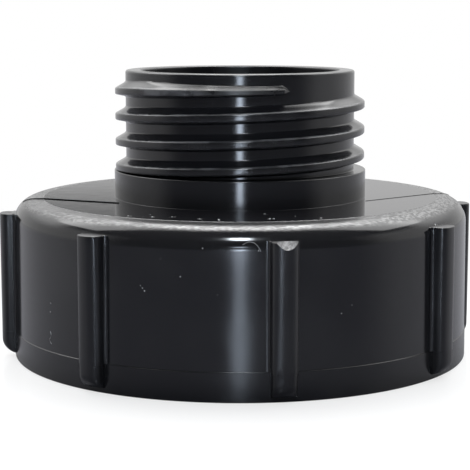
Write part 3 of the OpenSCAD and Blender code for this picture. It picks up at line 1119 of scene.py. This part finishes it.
class ADAPTER_OT_ribs(bpy.types.Operator):
    """Sets the grip ribs round the cap and breaks the corner off the first one"""

    bl_idname = "adapter.ribs"
    bl_label = "Grip Ribs"

    def execute(self, context):
        r = context.scene.rib_sizes
        wall = finish_named("smooth_black_cap")
        shell = rib_shell()
        piece = blank_object("grip_ribs")
        turn = r.phase + math.pi
        grown(piece, ribs_tree(), {
            "Rib": shell, "Count": r.count, "First Angle": turn, "Left Out": 0, "Material": wall})
        dress(piece)
        self.break_corner(shell, turn, wall)
        return {"FINISHED"}

    @staticmethod
    def break_corner(shell, turn, wall):
        shell.name = "broken_rib"
        shell.data.materials.append(wall)
        cutter = chip_cutter()
        cut = shell.modifiers.new("Break", "BOOLEAN")
        cut.object = cutter
        cut.operation = "DIFFERENCE"
        cut.solver = "EXACT"
        cut.material_mode = "TRANSFER"
        applied(shell, cut)
        shell.data.transform(Matrix.Rotation(turn, 4, "Z"))
        settle(shell.data, 30.0)
        drop(cutter)
        dress(shell)


class ADAPTER_OT_parting(bpy.types.Operator):
    """Lays the thin ridges that the joint of the mould halves left on the shoulder"""

    bl_idname = "adapter.parting"
    bl_label = "Parting Lines"

    def execute(self, context):
        material = finish_named("polished_black_shoulder")
        tree = bead_tree()
        for name, start, end, height in PARTING:
            plan = [between(start, end, i / 60) for i in range(61)]
            points = [(x * MM, y * MM, shoulder_height(math.hypot(x, y) * MM)) for x, y in plan]
            bead = ((-0.16, 0.08), (-0.07, -height), (0.07, -height), (0.16, 0.08))
            lay_bead(name, points, bead, tree, material)
        return {"FINISHED"}


class ADAPTER_OT_dust(bpy.types.Operator):
    """Scatters the dust specks, a fibre and a curled shaving"""

    bl_idname = "adapter.dust"
    bl_label = "Dust"

    def execute(self, context):
        material = finish_named("pale_dust")
        pebble = pebble_object()
        spots = [wall_spot(angle_deg, height, size) for angle_deg, height, size in WALL_DUST]
        spots += [(x * MM, y * MM, context.scene.adapter_sizes.cap_h, size * MM)
                  for x, y, size in DISC_DUST]
        piece = path_object("dust_specks", [spot[:3] for spot in spots])
        size = piece.data.attributes.new("size", "FLOAT", "POINT")
        size.data.foreach_set("value", [spot[3] for spot in spots])
        grown(piece, dust_tree(), {"Pebble": pebble, "Material": material}, 60.0)
        drop(pebble)
        dress(piece)
        tree = bead_tree()
        for name, trail, thick in (("fibre", FIBRE, 0.05), ("shaving", SHAVING, 0.07)):
            points = [wall_spot(angle_deg, height, 0.0)[:3] for angle_deg, height in trail]
            ring = arc(0.0, 0.0, thick, 0, 300, 5)
            lay_bead(name, points, ring, tree, material, 60.0)
        return {"FINISHED"}


class ADAPTER_OT_seal(bpy.types.Operator):
    """Gives the seal ring inside the cap its rubber finish"""

    bl_idname = "adapter.seal"
    bl_label = "Seal Ring"

    def execute(self, context):
        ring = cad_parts["seal_ring"]
        for slot in ring.material_slots:
            slot.material = finish_named("matt_rubber")
        return {"FINISHED"}


FLOOR_REACH, FLOOR_DROP = 4.0, 0.05 * MM
FLOOR_FADE = (0.055, 0.16)
FLOOR_SEEN, FLOOR_MIRRORED = (0.92, 0.92, 0.92), (0.185, 0.187, 0.215)
DAYLIGHT, COOL, WHITE = (0.74, 0.85, 1.0), (0.86, 0.93, 1.0), (1.0, 1.0, 1.0)
# Lanes of light on the floor in front, which the walls mirror. Each value is where a lane is
# dark and where it is bright: its slant (x / y as seen from LANE_EYE), then y, in metres.
LANE_EYE = -0.05
FAR_LANE = ((0.065, 0.025), (-0.30, -0.335), (-1.6, -1.3))
NEAR_LANE = ((0.17, 0.03), (-0.175, -0.12), (-0.062, -0.08))
# Directions to the surroundings, as parts of a unit vector, from dark to bright
BEHIND, LOW = (-0.55, -0.05), (0.62, 0.42)
HIGH_BACK_UP, HIGH_BACK_FAR = (0.22, 0.6), (0.2, 0.5)
# The dark shelf behind on the left: its sides and heights, each with how soft they end
SHELF_SIDES, SHELF_HEIGHTS, SHELF_FAR = (-0.125, -0.06, 0.025), (0.124, 0.25, 0.005), (0.5, 0.6)


class ADAPTER_OT_stage(bpy.types.Operator):
    """Sets the floor, surroundings, lamps and camera"""

    bl_idname = "adapter.stage"
    bl_label = "Studio"

    def execute(self, context):
        scene = context.scene
        studio = scene.studio
        self.floor(studio)
        self.surroundings(scene, studio)
        self.lamps(studio)
        self.camera(scene, studio)
        scene.view_settings.view_transform = "Standard"
        return {"FINISHED"}

    @staticmethod
    def floor(studio):
        mesh = bpy.data.meshes.new("floor")
        corners = ((-1, -1), (1, -1), (1, 1), (-1, 1))
        mesh.from_pydata([(i * FLOOR_REACH, j * FLOOR_REACH, -FLOOR_DROP) for i, j in corners],
                         [], [(0, 1, 2, 3)])
        floor = new_object("floor", mesh)
        material = bpy.data.materials.new("pale_floor")
        material.use_nodes = True
        graph = Graph(material.node_tree)
        x, y, _ = graph.split(graph.add("ShaderNodeTexCoord", out="Object"))
        seen = graph.add("ShaderNodeLightPath", out="Is Camera Ray")
        shown = seen * (0.7 + 0.3 * graph.step(flat_length(x, y), *FLOOR_FADE))
        slant = abs(x / (y - LANE_EYE))

        def lane(side, first, last):
            return graph.step(slant, *side) * graph.step(y, *first) * graph.step(y, *last)

        glow = (lane(*FAR_LANE) + lane(*NEAR_LANE) * studio.near_glow) * (1.0 - seen)
        paint = graph.add("ShaderNodeBsdfPrincipled", {}, {
            "Base Color": graph.mix(seen, FLOOR_MIRRORED, FLOOR_SEEN), "Roughness": 0.12,
            "Emission Color": graph.mix(glow, (0.0, 0.0, 0.0), DAYLIGHT),
            "Emission Strength": studio.far_glow})
        white = graph.add("ShaderNodeEmission", {}, {"Color": (*WHITE, 1.0), "Strength": 1.0})
        mixed = graph.add("ShaderNodeMixShader", {}, {0: shown, 1: paint, 2: white})
        end = material.node_tree.nodes["Material Output"]
        material.node_tree.links.new(mixed.link, end.inputs["Surface"])
        mesh.materials.append(material)

    @staticmethod
    def surroundings(scene, studio):
        world = bpy.data.worlds.new("white_room")
        world.use_nodes = True
        scene.world = world
        graph = Graph(world.node_tree)
        x, y, z = graph.split(graph.add("ShaderNodeTexCoord", out="Generated"))
        room = graph.step(y, *BEHIND) * graph.step(z, *LOW)
        light = studio.front_dark + (studio.surround - studio.front_dark) * room
        shelf = graph.band(x, *SHELF_SIDES) * graph.band(z, *SHELF_HEIGHTS)
        light = light - (light - studio.shelf_dark) * shelf * graph.step(y, *SHELF_FAR)
        raised = graph.step(z, *HIGH_BACK_UP) * graph.step(y, *HIGH_BACK_FAR)
        light = light + (studio.back_high - light) * raised
        light = light + (1.0 - light) * graph.add("ShaderNodeLightPath", out="Is Camera Ray")
        back = world.node_tree.nodes["Background"]
        graph.feed(back, {"Color": (*WHITE, 1.0), "Strength": light})

    @staticmethod
    def lamps(studio):
        def area(name, place, aim, wide, high, power, tint):
            light = bpy.data.lights.new(name, "AREA")
            light.shape = "RECTANGLE"
            light.size, light.size_y = wide, high
            light.energy = power
            light.color = tint
            lamp = new_object(name, light)
            lamp.location = place
            lamp.rotation_euler = (Vector(aim) - Vector(place)).to_track_quat("-Z", "Y").to_euler()

        middle, height = studio.over_deep / 2, studio.over_height
        for name, lift, wide, power in (
                ("overhead_light", 0.0, studio.over_wide, studio.over_watts),
                ("overhead_core", 10.0 * MM, studio.over_core, studio.core_watts)):
            area(name, (0.0, middle, height + lift), (0.0, middle, 0.0),
                 wide, studio.over_deep, power, WHITE)
        tilt, aim = studio.front_tilt, studio.front_aim
        area("front_light", (0.0, -math.cos(tilt), aim + math.sin(tilt)), (0.0, 0.0, aim),
             studio.front_wide, studio.front_high, studio.front_watts, COOL)
        area("window", (0.0, -studio.window_back, studio.window_up), (0.0, 0.0, studio.window_aim),
             studio.window_wide, studio.window_high, studio.window_watts, DAYLIGHT)

    @staticmethod
    def camera(scene, studio):
        data = bpy.data.cameras.new("camera")
        data.sensor_width = 36.0
        data.lens = studio.lens
        data.shift_x = studio.shift
        data.clip_start, data.clip_end = 0.01, 50.0
        camera = new_object("camera", data)
        camera.location = (0.0, -studio.camera_back, studio.camera_up)
        camera.rotation_euler = (math.radians(90) - studio.camera_pitch, 0.0, 0.0)
        scene.camera = camera


class ADAPTER_PT_panel(bpy.types.Panel):
    """Lists the adapter's pieces and the studio"""

    bl_idname = "ADAPTER_PT_panel"
    bl_label = "Reducing Adapter"
    bl_space_type = "VIEW_3D"
    bl_region_type = "UI"
    bl_category = "Adapter"

    def draw(self, context):
        for operator in OPERATORS:
            self.layout.operator(operator.bl_idname)
        for name, _ in GROUPS:
            group = getattr(context.scene, name)
            box = self.layout.box()
            box.label(text=group.bl_rna.name)
            for prop in group.bl_rna.properties:
                if prop.identifier not in ("rna_type", "name"):
                    box.prop(group, prop.identifier)


GROUPS = (
    ("adapter_sizes", AdapterSizes),
    ("thread_sizes", ThreadSizes),
    ("rib_sizes", RibSizes),
    ("finishes", Finishes),
    ("studio", Studio),
)
OPERATORS = (ADAPTER_OT_body, ADAPTER_OT_threads, ADAPTER_OT_ribs, ADAPTER_OT_parting,
             ADAPTER_OT_dust, ADAPTER_OT_seal, ADAPTER_OT_stage)


def register():
    for name, group in GROUPS:
        bpy.utils.register_class(group)
        setattr(bpy.types.Scene, name, PointerProperty(type=group))
    for operator in OPERATORS:
        bpy.utils.register_class(operator)
    bpy.utils.register_class(ADAPTER_PT_panel)


def unregister():
    bpy.utils.unregister_class(ADAPTER_PT_panel)
    for operator in reversed(OPERATORS):
        bpy.utils.unregister_class(operator)
    for name, group in reversed(GROUPS):
        delattr(bpy.types.Scene, name)
        bpy.utils.unregister_class(group)


def main():
    register()
    bpy.ops.adapter.body()
    bpy.ops.adapter.threads()
    bpy.ops.adapter.ribs()
    bpy.ops.adapter.parting()
    bpy.ops.adapter.dust()
    bpy.ops.adapter.seal()
    bpy.ops.adapter.stage()


if __name__ == "__main__":
    main()
